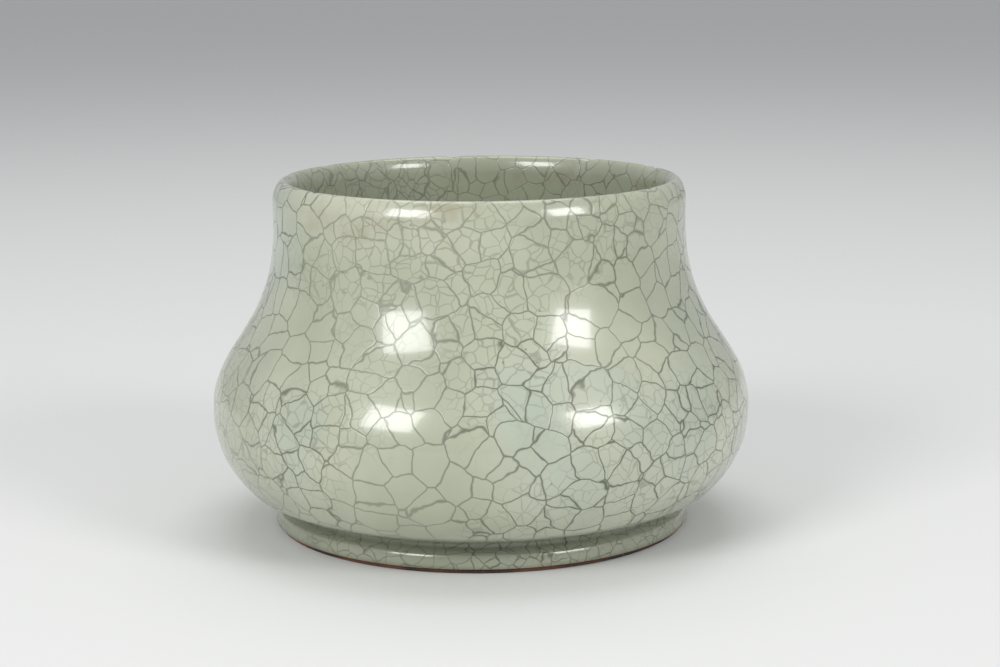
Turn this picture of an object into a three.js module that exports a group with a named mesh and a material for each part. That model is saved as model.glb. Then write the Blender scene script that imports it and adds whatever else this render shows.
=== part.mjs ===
// Waste bowl of crackled celadon: a thrown clay body on a turned foot ring,
// with separate coats of glaze outside, inside and under the base.
// Millimetres, +Z up, origin at the centre of the plane that the bowl stands on.
import * as THREE from "three";

// Widest girth of the glazed bowl
const BELLY_RADIUS = 65;
const BELLY_HEIGHT = 29.6;

// Hip, where the belly turns under towards the foot at 45 degrees
const HIP_RADIUS = 57.1;
const HIP_HEIGHT = 10.5;

// Neck and rolled lip
const NECK_RADIUS = 49.4;
const NECK_HEIGHT = 73.9;
const LIP_START_HEIGHT = 79.3;
const LIP_CREST_HEIGHT = 83.8;
const LIP_ROLL = 2.6;

// Clay wall and floor, glaze included
const WALL = 4.8;
const FLOOR_TOP = 11.6;

// Foot ring and the turned ledge above it
const FOOT_RADIUS = 50.5;
const FOOT_FACE_LEAN = 0.6;
const FOOT_FACE_HEIGHT = 4.4;
const FOOT_NECK_RADIUS = 47.3;
const LEDGE_RISE = 0.8;
const SEAM_HEIGHT = 5.7;
const UNDERSIDE_HEIGHT = 6.8;
const FOOT_INNER_RADIUS = 45.2;
const FOOT_INNER_LEAN = 1.6;
const FOOT_CHAMFER = 0.5;
const BARE_RIM_HEIGHT = 1.2;

// Glaze thickness, and the clearance that separate coats and clay keep
const COAT = 0.8;
const COAT_GAP = 0.1;
const BASE_COAT_GAP = 0.3;

// Flats round each turned form, and steps along each curve
const SEGMENTS = 48;
const CURVE_STEPS = 5;

const at = (radius, height) => new THREE.Vector2(radius, height);

// Points along a cubic curve without its first point, so that stretches chain.
function curve(from, leaving, arriving, to) {
  const path = new THREE.CubicBezierCurve(from, leaving, arriving, to);
  return path.getPoints(CURVE_STEPS).slice(1);
}

// Unit vector to the left of the way from one point to the next.
function leftOf(from, to) {
  const way = to.clone().sub(from).normalize();
  return at(-way.y, way.x);
}

// An outline moved sideways by a distance, mitred at its corners: left is positive.
function shifted(points, distance) {
  const last = points.length - 1;
  return points.map((point, i) => {
    const arriving = leftOf(points[Math.max(i - 1, 0)], points[Math.max(i, 1)]);
    const leaving = leftOf(points[Math.min(i, last - 1)], points[Math.min(i + 1, last)]);
    const mitre = arriving.add(leaving);
    return point.clone().addScaledVector(mitre, (2 * distance) / mitre.lengthSq());
  });
}

// Turned outside of the foot, from the edge of the glaze up to the seam with the body.
function footOutline() {
  const lean = (FOOT_FACE_LEAN * BARE_RIM_HEIGHT) / FOOT_FACE_HEIGHT;
  return [
    at(FOOT_RADIUS - lean, BARE_RIM_HEIGHT),
    at(FOOT_RADIUS - FOOT_FACE_LEAN, FOOT_FACE_HEIGHT),
    at(FOOT_NECK_RADIUS, FOOT_FACE_HEIGHT + LEDGE_RISE),
    at(FOOT_NECK_RADIUS, SEAM_HEIGHT),
  ];
}

// Outside of the bowl from the underside over hip, belly, shoulder and neck to the crest of the lip.
function wallOutline() {
  const under = at(FOOT_NECK_RADIUS, UNDERSIDE_HEIGHT);
  const hip = at(HIP_RADIUS, HIP_HEIGHT);
  const belly = at(BELLY_RADIUS, BELLY_HEIGHT);
  const neck = at(NECK_RADIUS, NECK_HEIGHT);
  const lip = at(NECK_RADIUS, LIP_START_HEIGHT);
  const crest = at(NECK_RADIUS - LIP_ROLL, LIP_CREST_HEIGHT);
  const belowHip = (HIP_RADIUS - FOOT_NECK_RADIUS) * 0.17;
  const aboveHip = (BELLY_HEIGHT - HIP_HEIGHT) * 0.3;
  const shoulder = NECK_HEIGHT - BELLY_HEIGHT;
  return [
    under,
    ...curve(
      under,
      at(FOOT_NECK_RADIUS + 2.5 * belowHip, UNDERSIDE_HEIGHT + 0.5 * belowHip),
      at(HIP_RADIUS - belowHip, HIP_HEIGHT - belowHip),
      hip,
    ),
    ...curve(
      hip,
      at(HIP_RADIUS + aboveHip, HIP_HEIGHT + aboveHip),
      at(BELLY_RADIUS, BELLY_HEIGHT - 1.37 * aboveHip),
      belly,
    ),
    ...curve(
      belly,
      at(BELLY_RADIUS, BELLY_HEIGHT + 0.33 * shoulder),
      at(NECK_RADIUS, NECK_HEIGHT - 0.58 * shoulder),
      neck,
    ),
    lip,
    ...curve(
      lip,
      at(NECK_RADIUS, LIP_START_HEIGHT + 0.55 * LIP_ROLL),
      at(NECK_RADIUS - 0.45 * LIP_ROLL, LIP_CREST_HEIGHT),
      crest,
    ),
  ];
}

// Inside of the bowl from the middle of its floor up to the crest of the lip.
function innerOutline() {
  const innerBelly = BELLY_RADIUS - WALL;
  const innerNeck = NECK_RADIUS - WALL;
  const crestRadius = NECK_RADIUS - LIP_ROLL - COAT_GAP;
  const shoulder = NECK_HEIGHT - BELLY_HEIGHT;
  const floor = at(0, FLOOR_TOP);
  const belly = at(innerBelly, BELLY_HEIGHT);
  const neck = at(innerNeck, NECK_HEIGHT);
  const lip = at(innerNeck, LIP_START_HEIGHT);
  return [
    floor,
    ...curve(
      floor,
      at(0.74 * innerBelly, FLOOR_TOP),
      at(innerBelly, FLOOR_TOP + 0.15 * (BELLY_HEIGHT - FLOOR_TOP)),
      belly,
    ),
    ...curve(
      belly,
      at(innerBelly, BELLY_HEIGHT + 0.33 * shoulder),
      at(innerNeck, NECK_HEIGHT - 0.54 * shoulder),
      neck,
    ),
    lip,
    ...curve(
      lip,
      at(innerNeck, LIP_CREST_HEIGHT - 0.35 * (LIP_CREST_HEIGHT - LIP_START_HEIGHT)),
      at(innerNeck + 0.4 * (crestRadius - innerNeck), LIP_CREST_HEIGHT),
      at(crestRadius, LIP_CREST_HEIGHT),
    ),
  ];
}

// A turned solid from a closed outline, named and given its finish.
function turned(name, outline, colour, roughness) {
  const geometry = new THREE.LatheGeometry(outline, SEGMENTS);
  geometry.rotateX(Math.PI / 2);
  const material = new THREE.MeshStandardMaterial({ color: colour, roughness, metalness: 0 });
  const mesh = new THREE.Mesh(geometry, material);
  mesh.name = name;
  return mesh;
}

// A surface outline sunk into the wall by a depth, and straight down at the crest, where it ends.
function sunk(points, depth, side) {
  const line = shifted(points, side * depth);
  const crest = points[points.length - 1];
  line[line.length - 1] = at(crest.x, crest.y - depth);
  return line;
}

const FOOT_LINE = footOutline();
const GLAZED_LINE = [...FOOT_LINE, ...wallOutline()];
const INNER_LINE = innerOutline();
const CLAY_LINE = sunk(GLAZED_LINE, COAT + COAT_GAP, 1);
const CLAY_INNER_LINE = sunk(INNER_LINE, COAT + COAT_GAP, -1);
const SEAM_INDEX = FOOT_LINE.length - 1;

// Thrown floor and wall, standing on the foot ring at a flat seam.
function clayBody() {
  const inside = [...CLAY_INNER_LINE].reverse();
  inside[inside.length - 1].x = 0;
  const outline = [at(0, SEAM_HEIGHT), ...CLAY_LINE.slice(SEAM_INDEX), ...inside];
  return turned("clay_body", outline, 0x9a8f7c, 0.8);
}

// Foot ring with a bare chamfered resting edge and a leaning inner face.
function footRing() {
  const face = CLAY_LINE.slice(0, SEAM_INDEX + 1);
  const outline = [
    at(FOOT_INNER_RADIUS + FOOT_CHAMFER, 0),
    at(face[0].x - FOOT_CHAMFER, 0),
    at(face[0].x, FOOT_CHAMFER),
    ...face,
    at(FOOT_INNER_RADIUS - FOOT_INNER_LEAN, SEAM_HEIGHT),
    at(FOOT_INNER_RADIUS, FOOT_CHAMFER),
    at(FOOT_INNER_RADIUS + FOOT_CHAMFER, 0),
  ];
  return turned("foot_ring", outline, 0x6b4a35, 0.85);
}

// Glaze over the outside, from just above the bare rim to the crest of the lip.
function outerGlaze() {
  const backing = sunk(GLAZED_LINE, COAT, 1).reverse();
  return turned("outer_glaze", [...GLAZED_LINE, ...backing, GLAZED_LINE[0].clone()], 0xa7ab97, 0.15);
}

// Glaze over the floor and the inner wall up to the crest of the lip.
function innerGlaze() {
  const backing = sunk(INNER_LINE, COAT, -1);
  backing[0].x = 0;
  return turned("inner_glaze", [...backing, ...[...INNER_LINE].reverse()], 0x91947d, 0.15);
}

// Glaze under the base, a thin disc inside the foot ring.
function baseGlaze() {
  const radius = FOOT_INNER_RADIUS - FOOT_INNER_LEAN - BASE_COAT_GAP;
  const top = SEAM_HEIGHT - COAT_GAP;
  const outline = [at(0, top - COAT), at(radius, top - COAT), at(radius, top), at(0, top)];
  return turned("base_glaze", outline, 0x91947d, 0.2);
}

const bowl = new THREE.Group();
bowl.name = "waste_bowl";
bowl.add(clayBody(), footRing(), outerGlaze(), innerGlaze(), baseGlaze());

export default bowl;
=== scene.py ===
"""Looks of a crackled celadon waste bowl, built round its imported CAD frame. Metres, +Z up."""

import logging
import math
import random
from dataclasses import dataclass
from enum import Enum

import bmesh
import bpy
from mathutils import Matrix, Vector


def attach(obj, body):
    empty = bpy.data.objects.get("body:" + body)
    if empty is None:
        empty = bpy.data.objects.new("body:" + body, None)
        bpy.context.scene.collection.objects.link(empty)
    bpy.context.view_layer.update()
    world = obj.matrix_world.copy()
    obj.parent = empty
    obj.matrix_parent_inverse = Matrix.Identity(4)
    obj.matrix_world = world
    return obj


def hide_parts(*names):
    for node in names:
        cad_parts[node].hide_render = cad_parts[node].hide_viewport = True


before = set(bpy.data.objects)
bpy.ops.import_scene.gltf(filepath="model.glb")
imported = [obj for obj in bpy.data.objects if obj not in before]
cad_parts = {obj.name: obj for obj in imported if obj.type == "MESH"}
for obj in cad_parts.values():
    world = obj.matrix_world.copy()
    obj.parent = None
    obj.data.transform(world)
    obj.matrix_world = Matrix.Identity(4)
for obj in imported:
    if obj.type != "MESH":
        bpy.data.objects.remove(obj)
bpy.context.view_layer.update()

LOG = logging.getLogger("waste_bowl")
MM = 0.001

Colour = tuple[float, float, float, float]
Point = tuple[float, float]


class ShadeZone(Enum):
    """Where a glaze sits, which decides how much painted shade darkens its colour."""

    WALL = "wall"
    FOOT = "foot"
    INSIDE = "inside"


def rgb(red: int, green: int, blue: int) -> Colour:
    """A colour written as display values from 0 to 255, as linear light."""

    def linear(value: int) -> float:
        """One channel as linear light."""
        share = value / 255
        return share / 12.92 if share <= 0.04045 else ((share + 0.055) / 1.055) ** 2.4

    return (linear(red), linear(green), linear(blue), 1.0)


class Wire:
    """A node socket that takes Python's operators and adds a Math node for each."""

    def __init__(self, shader: "Shader", socket: bpy.types.NodeSocket) -> None:
        """Keeps the shader that the socket belongs to.

        Args:
            shader: The material under construction.
            socket: The output socket that is wrapped.
        """
        self.shader = shader
        self.socket = socket

    def _math(self, operation: str, first: object, second: object) -> "Wire":
        """A Math node of two values."""
        return self.shader.node("ShaderNodeMath", {"operation": operation}, {0: first, 1: second})

    def __add__(self, other: object) -> "Wire":
        """Sum."""
        return self._math("ADD", self, other)

    def __sub__(self, other: object) -> "Wire":
        """Difference."""
        return self._math("SUBTRACT", self, other)

    def __rsub__(self, other: object) -> "Wire":
        """Difference with a number in front."""
        return self._math("SUBTRACT", other, self)

    def __mul__(self, other: object) -> "Wire":
        """Product."""
        return self._math("MULTIPLY", self, other)

    __radd__ = __add__
    __rmul__ = __mul__

    def either(self, other: object) -> "Wire":
        """The larger of two values."""
        return self._math("MAXIMUM", self, other)


class Shader:
    """A material's node tree under construction."""

    def __init__(self, name: str) -> None:
        """Starts a material with a glossy ceramic shader.

        Args:
            name: The material's name.
        """
        self.material = bpy.data.materials.new(name)
        self.material.use_nodes = True
        self.tree = self.material.node_tree
        self.surface = self.tree.nodes["Principled BSDF"]
        self.place = self.node("ShaderNodeTexCoord", {}, {}, "Object")

    def node(self, kind: str, settings: dict, inputs: dict, output: object = 0) -> Wire:
        """Adds a node.

        Args:
            kind: The node's type.
            settings: Its own properties, set before its sockets.
            inputs: Values or wires by socket name or index.
            output: The output socket's name or index.

        Returns:
            The chosen output as a wire.
        """
        made = self.tree.nodes.new(kind)
        for key, value in settings.items():
            setattr(made, key, value)
        for key, value in inputs.items():
            if isinstance(value, Wire):
                self.tree.links.new(value.socket, made.inputs[key])
            else:
                made.inputs[key].default_value = value
        return Wire(self, made.outputs[output])

    def ramp(self, value: Wire, low: float, high: float) -> Wire:
        """A smooth step of a value, from 0 at low to 1 at high."""
        settings = {"interpolation_type": "SMOOTHSTEP"}
        return self.node("ShaderNodeMapRange", settings, {"Value": value, 1: low, 2: high})

    def mix(self, share: object, first: object, second: object) -> Wire:
        """A blend of two colours by a share."""
        settings = {"data_type": "RGBA", "blend_type": "MIX"}
        return self.node("ShaderNodeMix", settings, {0: share, 6: first, 7: second}, 2)

    def vector(self, operation: str, first: Wire, inputs: dict) -> Wire:
        """A Vector Math node of one wire and other inputs."""
        return self.node("ShaderNodeVectorMath", {"operation": operation}, {0: first, **inputs})

    def noise(self, scale: float, detail: float, place: Wire | None = None) -> Wire:
        """Soft noise of a scale in features a metre."""
        inputs = {"Vector": place or self.place, "Scale": scale, "Detail": detail}
        return self.node("ShaderNodeTexNoise", {}, inputs, "Fac")

    def finish(self, colour: Wire, roughness: object, height: Wire | None, depth: float) -> None:
        """Links the colour, roughness and relief to the shader.

        Args:
            colour: The base colour.
            roughness: A wire or a number.
            height: Relief from 0 to 1, or None.
            depth: The relief's depth in metres.
        """
        links = self.tree.links
        links.new(colour.socket, self.surface.inputs["Base Color"])
        if isinstance(roughness, Wire):
            links.new(roughness.socket, self.surface.inputs["Roughness"])
        else:
            self.surface.inputs["Roughness"].default_value = roughness
        if height is not None:
            bump = self.node("ShaderNodeBump", {}, {"Height": height, "Strength": 1.0, "Distance": depth})
            links.new(bump.socket, self.surface.inputs["Normal"])


@dataclass(frozen=True)
class CrackleGlaze:
    """Celadon glaze with stained crackle lines at two scales, and painted shade where it sits round the foot
    or inside.
    """

    name: str
    shade_zone: ShadeZone
    pale: Colour = rgb(190, 192, 171)
    deep: Colour = rgb(164, 170, 148)
    cool: Colour = rgb(160, 178, 168)
    stain: Colour = rgb(134, 116, 82)
    line: Colour = rgb(78, 82, 62)
    # Painted shade: the darker colour mixed into glaze round the foot and inside the bowl, where shade
    # falls.
    painted_shade_colour: Colour = rgb(104, 106, 86)
    pin_shade: Colour = rgb(96, 98, 78)
    cells: float = 150.0
    fine_cells: float = 330.0
    line_width: float = 0.045
    drift_scale: float = 90.0
    drift_reach: float = 0.006
    patch_scale: float = 28.0
    strength_scale: float = 16.0
    tone_scale: float = 22.0
    cool_scale: float = 19.0
    stain_scale: float = 48.0
    stain_start: float = 0.066
    stain_full: float = 0.082
    pin_scale: float = 240.0
    relief_depth: float = 0.00007
    coat_weight: float = 0.5
    coat_roughness: float = 0.07
    refraction: float = 1.5

    def cracks(self, shader: Shader, place: Wire, scale: float, width: float) -> Wire:
        """Lines between irregular cells: 1 on a crack, 0 off it.

        Args:
            shader: The material under construction.
            place: Where the pattern is read.
            scale: Cells a metre.
            width: A line's half width as a share of a cell.

        Returns:
            The mask as a wire.
        """
        settings = {"feature": "DISTANCE_TO_EDGE", "voronoi_dimensions": "3D"}
        edge = shader.node("ShaderNodeTexVoronoi", settings, {"Vector": place, "Scale": scale}, "Distance")
        return 1 - shader.ramp(edge, 0.0, width)

    def drifted(self, shader: Shader) -> Wire:
        """The surface position, pushed about a little so that no crack runs straight."""
        inputs = {"Vector": shader.place, "Scale": self.drift_scale, "Detail": 3.0}
        drift = shader.node("ShaderNodeTexNoise", {}, inputs, "Color")
        centred = shader.vector("SUBTRACT", drift, {1: (0.5, 0.5, 0.5)})
        shift = shader.vector("SCALE", centred, {"Scale": self.drift_reach})
        return shader.vector("ADD", shader.place, {1: shift})

    def ground(self, shader: Shader, place: Wire, patchy: Wire) -> Wire:
        """The glaze's colour between the cracks.

        Args:
            shader: The material under construction.
            place: Where the crackle is read.
            patchy: Where the fine crackle and the pinholes gather.

        Returns:
            The colour as a wire.
        """
        cell = shader.node("ShaderNodeTexVoronoi", {}, {"Vector": place, "Scale": self.cells}, "Color")
        tint = shader.node("ShaderNodeSeparateColor", {}, {"Color": cell}, 0)
        base = shader.mix(shader.ramp(shader.noise(self.tone_scale, 4.0), 0.3, 0.7), self.deep, self.pale)
        base = shader.mix(tint * 0.16, base, self.deep)
        bluish = shader.ramp(shader.noise(self.cool_scale, 2.0, place), 0.52, 0.7)
        base = shader.mix(bluish * 0.45, base, self.cool)
        height = shader.node("ShaderNodeSeparateXYZ", {}, {"Vector": shader.place}, 2)
        near_lip = shader.ramp(height, self.stain_start, self.stain_full)
        blotch = shader.ramp(shader.noise(self.stain_scale, 4.0), 0.54, 0.72)
        base = shader.mix(near_lip * blotch * 0.5, base, self.stain)
        # Painted shade: glaze on the foot and its undercut, and inside the bowl, is mixed towards a darker
        # colour where shade falls.
        shade = {ShadeZone.WALL: 0.0, ShadeZone.FOOT: 0.45, ShadeZone.INSIDE: 0.3}[self.shade_zone]
        if shade:
            base = shader.mix(shade, base, self.painted_shade_colour)
        inputs = {"Vector": shader.place, "Scale": self.pin_scale}
        speck = shader.node("ShaderNodeTexVoronoi", {}, inputs, "Distance")
        pin = 1 - shader.ramp(speck, 0.05, 0.09)
        return shader.mix(pin * patchy * 0.5, base, self.pin_shade)

    def material(self) -> bpy.types.Material:
        """The finished material."""
        shader = Shader(self.name)
        place = self.drifted(shader)
        main = self.cracks(shader, place, self.cells, self.line_width)
        fine = self.cracks(shader, place, self.fine_cells, self.line_width * 1.5)
        patchy = shader.ramp(shader.noise(self.patch_scale, 3.0), 0.42, 0.62)
        strength = shader.ramp(shader.noise(self.strength_scale, 2.0), 0.25, 0.7)
        lines = (main * (0.45 + strength * 0.5)).either(fine * patchy * 0.42)
        colour = shader.mix(lines, self.ground(shader, place, patchy), self.line)
        gloss = 0.17 + lines * 0.16 + shader.noise(60.0, 3.0) * 0.1
        relief = shader.noise(120.0, 4.0) * 0.4 + (1 - main) * 0.5
        shader.finish(colour, gloss, relief, self.relief_depth)
        shader.surface.inputs["Coat Weight"].default_value = self.coat_weight
        shader.surface.inputs["Coat Roughness"].default_value = self.coat_roughness
        shader.surface.inputs["IOR"].default_value = self.refraction
        return shader.material


@dataclass(frozen=True)
class BareClay:
    """Unglazed clay that the kiln burnt to an iron brown."""

    name: str = "burnt_clay"
    warm: Colour = rgb(122, 78, 52)
    dark: Colour = rgb(62, 46, 36)

    def material(self) -> bpy.types.Material:
        """The finished material."""
        shader = Shader(self.name)
        patch = shader.ramp(shader.noise(70.0, 5.0), 0.35, 0.65)
        grit = shader.noise(1400.0, 3.0)
        colour = shader.mix(patch, self.warm, self.dark)
        colour = shader.mix(shader.ramp(grit, 0.6, 0.75) * 0.35, colour, rgb(150, 128, 104))
        shader.finish(colour, 0.7 + grit * 0.2, grit, 0.00012)
        return shader.material


def bezier(start: Point, leaving: Point, arriving: Point, end: Point, steps: int) -> list[Point]:
    """Points along a cubic curve without its first.

    Args:
        start: First point, radius and height in millimetres.
        leaving: Handle of the first point.
        arriving: Handle of the last point.
        end: Last point.
        steps: Steps along the curve.

    Returns:
        The points after the first.
    """
    points = []
    for i in range(1, steps + 1):
        t = i / steps
        s = 1 - t
        shares = (s**3, 3 * s * s * t, 3 * s * t * t, t**3)
        corners = (start, leaving, arriving, end)
        points.append(tuple(sum(w * c[axis] for w, c in zip(shares, corners)) for axis in (0, 1)))
    return points


@dataclass
class Bowl:
    """The glazed bowl. Radii and heights in millimetres, as in the CAD frame."""

    belly_radius: float = 65.0
    belly_height: float = 29.6
    hip_radius: float = 57.1
    hip_height: float = 10.5
    neck_radius: float = 49.4
    neck_height: float = 73.9
    lip_start: float = 79.3
    lip_crest: float = 83.8
    lip_roll: float = 2.6
    wall: float = 4.8
    floor_top: float = 11.6
    foot_radius: float = 50.5
    foot_face_lean: float = 0.6
    foot_face_height: float = 4.4
    foot_neck_radius: float = 47.3
    ledge_rise: float = 0.8
    underside: float = 6.8
    bare_rim: float = 1.2
    foot_inner_radius: float = 45.2
    foot_inner_lean: float = 1.6
    recess_top: float = 4.8
    foot_chamfer: float = 0.5
    coat: float = 0.8
    segments: int = 256
    steps: int = 14
    nicks: int = 9
    seed: int = 12
    broad_sway: float = 0.0011
    ring_sway: float = 0.0005
    foot_rows: int = 10

    def outside(self) -> list[Point]:
        """The glazed outside from the bare rim to the crest of the lip."""
        under = (self.foot_neck_radius, self.underside)
        hip = (self.hip_radius, self.hip_height)
        belly = (self.belly_radius, self.belly_height)
        neck = (self.neck_radius, self.neck_height)
        lip = (self.neck_radius, self.lip_start)
        crest = (self.neck_radius - self.lip_roll, self.lip_crest)
        low = (self.hip_radius - self.foot_neck_radius) * 0.17
        rise = (self.belly_height - self.hip_height) * 0.3
        shoulder = self.neck_height - self.belly_height
        lean = self.foot_face_lean * self.bare_rim / self.foot_face_height
        edge = (self.foot_radius - lean, self.bare_rim)
        face_top = (self.foot_radius - self.foot_face_lean, self.foot_face_height)
        ledge = (self.foot_neck_radius, self.foot_face_height + self.ledge_rise)
        points = [(edge[0] - self.coat, edge[1] - 0.1), (edge[0] - 0.25, edge[1] - 0.05), edge]
        points += [((edge[0] * 2 + face_top[0]) / 3, 2.2), ((edge[0] + face_top[0] * 2) / 3, 3.3)]
        points += [(face_top[0], face_top[1] - 0.25), (face_top[0] - 0.3, face_top[1] + 0.04)]
        points += [ledge, (under[0], (ledge[1] + under[1]) / 2), under]
        points += bezier(
            under,
            (under[0] + 2.5 * low, under[1] + 0.5 * low),
            (hip[0] - low, hip[1] - low),
            hip,
            self.steps,
        )
        points += bezier(
            hip,
            (hip[0] + rise, hip[1] + rise),
            (belly[0], belly[1] - 1.37 * rise),
            belly,
            self.steps,
        )
        points += bezier(
            belly,
            (belly[0], belly[1] + 0.33 * shoulder),
            (neck[0], neck[1] - 0.58 * shoulder),
            neck,
            self.steps * 2,
        )
        points.append(lip)
        points += bezier(
            lip,
            (lip[0], lip[1] + 0.55 * self.lip_roll),
            (neck[0] - 0.45 * self.lip_roll, self.lip_crest),
            crest,
            self.steps,
        )
        return points

    def inside(self) -> list[Point]:
        """The glazed inside from the crest of the lip down to the middle of the floor."""
        belly = (self.belly_radius - self.wall, self.belly_height)
        neck = (self.neck_radius - self.wall, self.neck_height)
        lip = (neck[0], self.lip_start)
        crest = (self.neck_radius - self.lip_roll, self.lip_crest)
        shoulder = self.neck_height - self.belly_height
        floor = (0.0, self.floor_top)
        points = bezier(
            floor,
            (0.74 * belly[0], self.floor_top),
            (belly[0], self.floor_top + 0.15 * (self.belly_height - self.floor_top)),
            belly,
            self.steps * 2,
        )
        points += bezier(
            belly,
            (belly[0], belly[1] + 0.33 * shoulder),
            (neck[0], neck[1] - 0.54 * shoulder),
            neck,
            self.steps * 2,
        )
        points.append(lip)
        points += bezier(
            lip,
            (lip[0], self.lip_crest - 0.35 * (self.lip_crest - self.lip_start)),
            (lip[0] + 0.4 * (crest[0] - lip[0]), self.lip_crest),
            crest,
            self.steps,
        )
        return [floor, *points][::-1]

    def turn(self, name: str, outline: list[Point], closed: bool) -> bpy.types.Object:
        """Turns an outline about the upright axis.

        Args:
            name: The piece's name.
            outline: Radius and height of each point, in millimetres.
            closed: Whether the last point joins the first.

        Returns:
            The new object, smooth shaded.
        """
        mesh = bmesh.new()
        rings = []
        for radius, height in outline:
            if radius < 1e-6:
                rings.append([mesh.verts.new((0, 0, height * MM))])
                continue
            ring = []
            for i in range(self.segments):
                turn = 2 * math.pi * i / self.segments
                place = (radius * math.cos(turn) * MM, radius * math.sin(turn) * MM, height * MM)
                ring.append(mesh.verts.new(place))
            rings.append(ring)
        pairs = list(zip(rings, rings[1:]))
        if closed:
            pairs.append((rings[-1], rings[0]))
        for low, high in pairs:
            for i in range(self.segments):
                j = (i + 1) % self.segments
                around = (low[i % len(low)], low[j % len(low)], high[j % len(high)], high[i % len(high)])
                corners = list(dict.fromkeys(around))
                if len(corners) > 2:
                    mesh.faces.new(corners)
        bmesh.ops.recalc_face_normals(mesh, faces=mesh.faces)
        data = bpy.data.meshes.new(name)
        mesh.to_mesh(data)
        mesh.free()
        data.polygons.foreach_set("use_smooth", [True] * len(data.polygons))
        piece = bpy.data.objects.new(name, data)
        bpy.context.scene.collection.objects.link(piece)
        return piece

    def hand_made(self, piece: bpy.types.Object) -> None:
        """Draws the surface in by a hair here and there, and nicks the lip, always inwards.

        Args:
            piece: The glazed shell, changed in place.
        """
        dice = random.Random(self.seed)
        chips = []
        for _ in range(self.nicks):
            chips.append((dice.uniform(0, 2 * math.pi), dice.uniform(0.012, 0.03), dice.uniform(0.15, 0.5)))
        for vertex in piece.data.vertices:
            x, y, z = vertex.co
            height = z / MM
            radius = math.hypot(x, y)
            if radius < 1e-6:
                continue
            turn = math.atan2(y, x)
            rise = min(max((height - self.underside) / 10, 0), 1)
            broad = self.broad_sway * (1 + math.sin(2 * turn + height * 0.05))
            rings = self.ring_sway * (1 + math.sin(height * 0.8 + turn))
            radius *= 1 - (broad + rings) * rise
            if height > self.lip_start:
                top = (height - self.lip_start) / (self.lip_crest - self.lip_start)
                for centre, width, depth in chips:
                    gap = math.remainder(turn - centre, 2 * math.pi)
                    height -= depth * top * math.exp(-((gap / width) ** 2))
            vertex.co = (radius * math.cos(turn), radius * math.sin(turn), height * MM)

    def build(self) -> None:
        """Makes the glazed shell, the foot and the base, and seats them on their body."""
        outside = self.outside()
        inside = self.inside()
        shell = self.turn("glazed_shell", [*outside, *inside[1:], *self.core(0.0)[::-1]], True)
        self.hand_made(shell)
        shell.data.materials.append(CrackleGlaze("celadon_outside", ShadeZone.WALL).material())
        # The inside and foot copies of the glaze carry painted shade.
        shell.data.materials.append(CrackleGlaze("celadon_inside_painted_shade", ShadeZone.INSIDE, cells=190.0).material())
        shell.data.materials.append(CrackleGlaze("celadon_foot_painted_shade", ShadeZone.FOOT, cells=260.0).material())
        self.paint_shell(shell, len(outside))
        self.seat(shell, "celadon_glaze", "outer_glaze", "inner_glaze", "clay_body")
        self.seat(self.foot(), "foot_clay", "foot_ring")
        self.seat(self.base(), "celadon_glaze", "base_glaze")

    def core(self, clearance: float) -> list[Point]:
        """The hidden seat between the shell and the foot, from the foot's face to the axis.

        Args:
            clearance: How far the seat is drawn in, in millimetres.

        Returns:
            Radius and height of each point.
        """
        face = self.foot_radius - 2 * self.coat - clearance
        neck = self.foot_neck_radius - self.coat - clearance
        seat = self.recess_top + self.coat + 0.3 - clearance
        low = self.foot_face_height - self.coat - clearance
        return [(face, self.bare_rim + 0.2), (face - 0.3, low), (neck, low + 0.5), (neck, seat), (0.0, seat)]

    def paint_shell(self, shell: bpy.types.Object, outer: int) -> None:
        """Gives the inside and the foot their own glaze, darkened with painted shade.

        Args:
            shell: The glazed shell.
            outer: Points in the outer outline.
        """
        for face in shell.data.polygons:
            row = min(face.vertices) // self.segments
            if row < self.foot_rows:
                face.material_index = 2
            elif row >= outer - 1:
                face.material_index = 1

    def foot(self) -> bpy.types.Object:
        """The foot ring with its bare burnt edge."""
        outer = self.foot_radius - 0.16 - self.coat
        outline = [
            (self.foot_inner_radius + self.foot_chamfer, 0),
            (outer - self.foot_chamfer, 0),
            (outer - 0.15, 0.16),
            (outer, self.foot_chamfer),
            (outer, self.bare_rim - 0.1),
            *self.core(0.1)[:-1],
            (self.foot_inner_radius - self.foot_inner_lean, self.recess_top + self.coat + 0.2),
            (self.foot_inner_radius, self.foot_chamfer),
            (self.foot_inner_radius + 0.15, 0.16),
        ]
        piece = self.turn("bare_foot", outline, True)
        piece.data.materials.append(BareClay().material())
        return piece

    def base(self) -> bpy.types.Object:
        """The glazed underside inside the foot ring."""
        radius = self.foot_inner_radius - self.foot_inner_lean + 0.2
        top = self.recess_top + self.coat
        outline = [(0, self.recess_top), (radius * 0.9, self.recess_top), (radius, self.recess_top - 0.05)]
        outline += [(radius, top), (0, top)]
        piece = self.turn("base_glaze_skin", outline, False)
        # The underside's glaze carries painted shade, as under the bowl.
        piece.data.materials.append(CrackleGlaze("celadon_base_painted_shade", ShadeZone.INSIDE, cells=180.0).material())
        return piece

    def seat(self, piece: bpy.types.Object, slot: str, *nodes: str) -> None:
        """Seats a piece on the body, in place of CAD nodes.

        Args:
            piece: The piece.
            slot: The record's material slot; not used.
            nodes: The CAD nodes that it stands for.
        """
        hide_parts(*nodes)
        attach(piece, "root")
        LOG.info("%s: %d faces", piece.name, len(piece.data.polygons))


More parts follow.
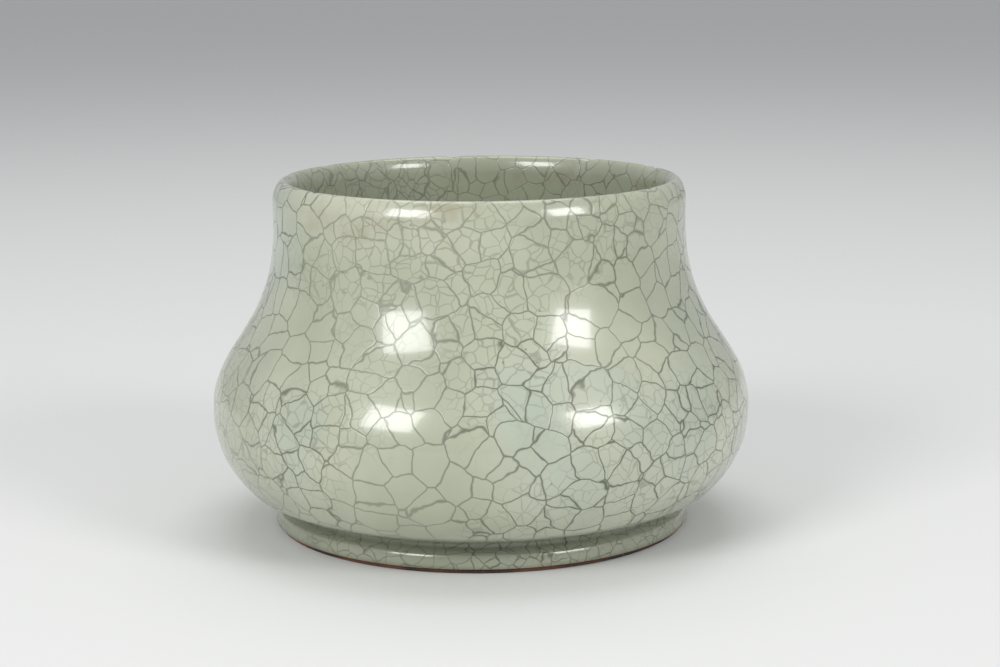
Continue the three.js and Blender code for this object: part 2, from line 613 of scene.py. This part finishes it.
@dataclass
class Studio:
    """Pale floor, soft lamps and the camera at the photograph's angle."""

    focal_pixels: float = 2198.3
    picture_width: float = 1000.0
    sensor: float = 36.0
    distance: float = 524.3
    eye_height: float = 145.1
    pitch: float = 10.759
    yaw: float = 0.514
    roll: float = 0.43
    floor_colour: Colour = rgb(226, 226, 224)

    def camera(self) -> None:
        """The camera, from the angles that the outline gives."""
        data = bpy.data.cameras.new("camera")
        data.sensor_width = self.sensor
        data.lens = self.focal_pixels * self.sensor / self.picture_width
        pitch, yaw, roll = (math.radians(a) for a in (self.pitch, self.yaw, self.roll))
        ahead = Vector((math.sin(yaw) * math.cos(pitch), math.cos(yaw) * math.cos(pitch), -math.sin(pitch)))
        right = Vector((math.cos(yaw), -math.sin(yaw), 0))
        up = right.cross(ahead)
        across = right * math.cos(roll) - up * math.sin(roll)
        upward = up * math.cos(roll) + right * math.sin(roll)
        camera = bpy.data.objects.new("camera", data)
        axes = Matrix((across, upward, -ahead)).transposed().to_4x4()
        camera.matrix_world = Matrix.Translation((0, -self.distance * MM, self.eye_height * MM)) @ axes
        bpy.context.scene.collection.objects.link(camera)
        bpy.context.scene.camera = camera

    def lamp(self, name: str, place: tuple, size: float, watts: float) -> None:
        """A square soft lamp that faces the bowl.

        Args:
            name: The lamp's name.
            place: Where it hangs, in metres.
            size: Its side, in metres.
            watts: Its power.
        """
        data = bpy.data.lights.new(name, "AREA")
        data.shape = "SQUARE"
        data.size = size
        data.energy = watts
        lamp = bpy.data.objects.new(name, data)
        lamp.location = place
        lamp.rotation_euler = (Vector((0, 0, 0.04)) - Vector(place)).to_track_quat("-Z", "Y").to_euler()
        bpy.context.scene.collection.objects.link(lamp)

    def build(self) -> None:
        """Sets the floor, the world, the lamps and the camera."""
        bpy.ops.mesh.primitive_plane_add(size=12, location=(0, 0, 0))
        floor = bpy.context.object
        floor.name = "floor"
        shader = Shader("pale_floor")
        tone = shader.mix(shader.noise(3.0, 2.0) * 0.1, self.floor_colour, rgb(214, 214, 212))
        shader.finish(tone, 0.8, None, 0.0)
        floor.data.materials.append(shader.material)
        world = bpy.data.worlds.new("studio")
        world.use_nodes = True
        world.node_tree.nodes["Background"].inputs["Color"].default_value = (0.8, 0.82, 0.85, 1)
        world.node_tree.nodes["Background"].inputs["Strength"].default_value = 0.55
        bpy.context.scene.world = world
        bpy.context.scene.view_settings.view_transform = "Standard"
        self.lamp("left_window", (-0.62, -0.72, 0.62), 0.42, 5.5)
        self.lamp("right_window", (0.72, -0.6, 0.55), 0.34, 3.8)
        self.lamp("top_bank", (0.0, 0.3, 1.1), 0.8, 4.0)
        self.camera()


def write_sizes() -> None:
    """Brings the view layer up to date."""
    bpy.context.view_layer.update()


def main() -> None:
    """Builds the studio and the bowl."""
    logging.basicConfig(level=logging.INFO)
    Studio().build()
    Bowl().build()
    write_sizes()


if __name__ == "__main__":
    main()
